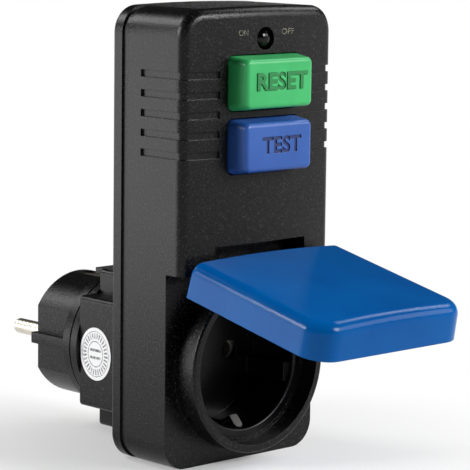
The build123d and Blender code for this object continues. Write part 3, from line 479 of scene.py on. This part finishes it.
def printedLabel():
    # white film label with grey print: two thin rings, a ring of ticks and a few short rules
    look = labelLook
    mat = newMaterial("printedFilmLabel")
    point = {"Vector": (addNode(mat, "ShaderNodeTexCoord"), "Object")}
    deep, high = look["halfDeep"] * mm, look["halfHigh"] * mm
    centre = place(look["side"], *look["middle"])
    moved = addNode(mat, "ShaderNodeMapping", {"Location": (0, -centre.y / deep, -centre.z / high),
                                               "Scale": (0, 1 / deep, 1 / high)}, point)
    radius = addNode(mat, "ShaderNodeVectorMath", {"operation": "LENGTH"}, {0: (moved, "Vector")})
    pieces = [ringShare(mat, radius, span) for span in look["thinRings"]]
    for pattern, span in ((labelTicks(mat, look, moved), look["tickRing"]),
                          (labelRules(mat, look, moved), look["heart"])):
        pieces.append(addNode(mat, "ShaderNodeMath", {"operation": "MULTIPLY"},
                              {0: (pattern, "Value"), 1: (ringShare(mat, radius, span), "Value")}))
    total = pieces[0]
    for piece in pieces[1:]:
        total = addNode(mat, "ShaderNodeMath", {"operation": "MAXIMUM"},
                        {0: (total, "Value"), 1: (piece, "Value")})
    smudge = addNode(mat, "ShaderNodeTexNoise",
                     {"Scale": 1 / (look["smudgeMm"] * mm), "Detail": look["detail"]}, point)
    fade = addNode(mat, "ShaderNodeMapRange",
                   {"From Min": look["smudgeSpan"][0], "From Max": look["smudgeSpan"][1],
                    "To Min": look["inkLeft"][0], "To Max": look["inkLeft"][1]}, {"Value": (smudge, "Fac")})
    ink = addNode(mat, "ShaderNodeMath", {"operation": "MULTIPLY"},
                  {0: (total, "Value"), 1: (fade, "Result")})
    colour = addNode(mat, "ShaderNodeMix",
                     {"data_type": "RGBA", 6: hexLinear(look["paperHex"]), 7: hexLinear(look["inkHex"])},
                     {0: (ink, "Value")})
    shader = addNode(mat, "ShaderNodeBsdfPrincipled", {"Roughness": look["rough"]},
                     {"Base Color": (colour, 2)})
    return finishMaterial(mat, shader)


dressNode("label_sticker", printedLabel())
print("stage: print done")


# Floor, lamps and camera

floorLook = dict(half=0.2, hex="#f8f8f8", rough=0.9, paperMiddle=(0.0, -0.06, 0.0), paperSpan=(0.03, 0.15),
                 brightShare=(0.2, 1.0))
worldLook = dict(roomStrength=0.03, horizonSoft=0.1)
white = {"Color": (1, 1, 1, 1), "Strength": 1.0}


def mirrorRays(mat, path):
    # 1 for rays that a glossy or a clear surface sends on
    return addNode(mat, "ShaderNodeMath", {"operation": "MAXIMUM"},
                   {0: (path, "Is Glossy Ray"), 1: (path, "Is Transmission Ray")})


def floorMaterial():
    # a pale paper sweep: lit as paper near the object, and further out plain white
    # to the camera and in reflections
    look = floorLook
    mat = newMaterial("paleFloor")
    point = {"Vector": (addNode(mat, "ShaderNodeTexCoord"), "Object")}
    shift = tuple(-length for length in look["paperMiddle"])
    moved = addNode(mat, "ShaderNodeMapping", {"Location": shift}, point)
    far = addNode(mat, "ShaderNodeVectorMath", {"operation": "LENGTH"}, {0: (moved, "Vector")})
    share = addNode(mat, "ShaderNodeMapRange",
                    {"From Min": look["paperSpan"][0], "From Max": look["paperSpan"][1],
                     "To Min": look["brightShare"][0], "To Max": look["brightShare"][1],
                     "interpolation_type": "SMOOTHSTEP"}, {"Value": (far, "Value")})
    path = addNode(mat, "ShaderNodeLightPath")
    rays = addNode(mat, "ShaderNodeMath", {"operation": "MAXIMUM"},
                   {0: (path, "Is Camera Ray"), 1: (mirrorRays(mat, path), "Value")})
    seen = addNode(mat, "ShaderNodeMath", {"operation": "MULTIPLY"},
                   {0: (share, "Result"), 1: (rays, "Value")})
    paper = addNode(mat, "ShaderNodeBsdfPrincipled",
                    {"Base Color": hexLinear(look["hex"]), "Roughness": look["rough"]})
    bright = addNode(mat, "ShaderNodeEmission", white)
    mix = addNode(mat, "ShaderNodeMixShader",
                  links={0: (seen, "Value"), 1: (paper, "BSDF"), 2: (bright, "Emission")})
    return finishMaterial(mat, mix, "Shader")


def makeFloor():
    half, low = floorLook["half"], -plugHeight * mm
    corners = [(-half, -half, low), (half, -half, low), (half, half, low), (-half, half, low)]
    mesh = bpy.data.meshes.new("floor")
    mesh.from_pydata(corners, [], [(0, 1, 2, 3)])
    mesh.materials.append(floorMaterial())
    linked("floor", mesh)


def makeWorld():
    # white to the camera; in reflections the paper's white below the horizon and a dim room above it
    look = worldLook
    world = bpy.data.worlds.new("softWorld")
    world.use_nodes = True
    world.node_tree.nodes.clear()
    path = addNode(world, "ShaderNodeLightPath")
    point = addNode(world, "ShaderNodeTexCoord")
    split = addNode(world, "ShaderNodeSeparateXYZ", links={"Vector": (point, "Generated")})
    below = addNode(world, "ShaderNodeMapRange",
                    {"From Min": 0.0, "From Max": look["horizonSoft"], "To Min": 1.0, "To Max": 0.0},
                    {"Value": (split, "Z")})
    paper = addNode(world, "ShaderNodeMath", {"operation": "MULTIPLY"},
                    {0: (below, "Result"), 1: (mirrorRays(world, path), "Value")})
    seen = addNode(world, "ShaderNodeMath", {"operation": "MAXIMUM"},
                   {0: (path, "Is Camera Ray"), 1: (paper, "Value")})
    room = addNode(world, "ShaderNodeBackground", white | {"Strength": look["roomStrength"]})
    bright = addNode(world, "ShaderNodeBackground", white)
    mix = addNode(world, "ShaderNodeMixShader",
                  links={0: (seen, "Value"), 1: (room, "Background"), 2: (bright, "Background")})
    addNode(world, "ShaderNodeOutputWorld", links={"Surface": (mix, "Shader")})
    bpy.context.scene.world = world


# lamps have places and sizes in metres and power in watts, and all look at one point of the housing
lampAim = (0, 20, 65)
lampLook = {
    "backTopSoftbox": dict(at=(-0.38, 0.72, 0.72), size=(0.4, 0.35), power=3.6),
    "rightTopSoftbox": dict(at=(0.82, -0.12, 0.80), size=(0.35, 0.4), power=2.4),
    "leftSoftbox": dict(at=(-0.78, 0.80, -0.15), size=(1.0, 0.8), power=6.5),
    "leftFill": dict(at=(-1.00, 0.46, 0.45), size=(0.4, 0.4), power=10.0),
    "frontSoftbox": dict(at=(0.78, -0.72, 0.42), size=(0.6, 0.4), power=3.2),
    "frontFill": dict(at=(0.40, -1.00, 0.55), size=(0.4, 0.4), power=12.5),
}


def makeLamps():
    aim = place(*lampAim)
    for name, look in lampLook.items():
        data = bpy.data.lights.new(name, "AREA")
        data.shape = "RECTANGLE"
        data.size, data.size_y = look["size"]
        data.energy = look["power"]
        lamp = linked(name, data)
        lamp.location = look["at"]
        lamp.rotation_euler = (aim - lamp.location).to_track_quat("-Z", "Y").to_euler()


# the camera that was fitted to the photo: millimetres, degrees and pixels
cameraLook = dict(at=(-488.78, -509.89, 170.03), yaw=-43.564, pitch=7.751, roll=0.749, focalPixels=2420.85,
                  middlePixels=(247.62, 216.06), framePixels=470, sensorMm=36.0, clip=(0.01, 50))


def makeCamera():
    look = cameraLook
    yaw, pitch, roll = (math.radians(look[turn]) for turn in ("yaw", "pitch", "roll"))
    level = math.cos(pitch)
    back = Vector((math.sin(yaw) * level, -math.cos(yaw) * level, math.sin(pitch)))
    right = Vector((math.cos(yaw), math.sin(yaw), 0))
    up = back.cross(right)
    turnedRight = math.cos(roll) * right + math.sin(roll) * up
    turnedUp = -math.sin(roll) * right + math.cos(roll) * up
    data = bpy.data.cameras.new("camera")
    size, middle = look["framePixels"], look["middlePixels"]
    data.sensor_width = look["sensorMm"]
    data.lens = look["focalPixels"] / size * data.sensor_width
    data.shift_x = (size / 2 - middle[0]) / size
    data.shift_y = (middle[1] - size / 2) / size
    data.clip_start, data.clip_end = look["clip"]
    camera = linked("camera", data)
    turn = Matrix((turnedRight, turnedUp, back)).transposed().to_4x4()
    camera.matrix_world = Matrix.Translation(place(*look["at"])) @ turn
    bpy.context.scene.camera = camera


makeFloor()
makeWorld()
makeLamps()
makeCamera()
bpy.context.scene.view_settings.view_transform = "Standard"
print("stage: floor, lamps and camera set")
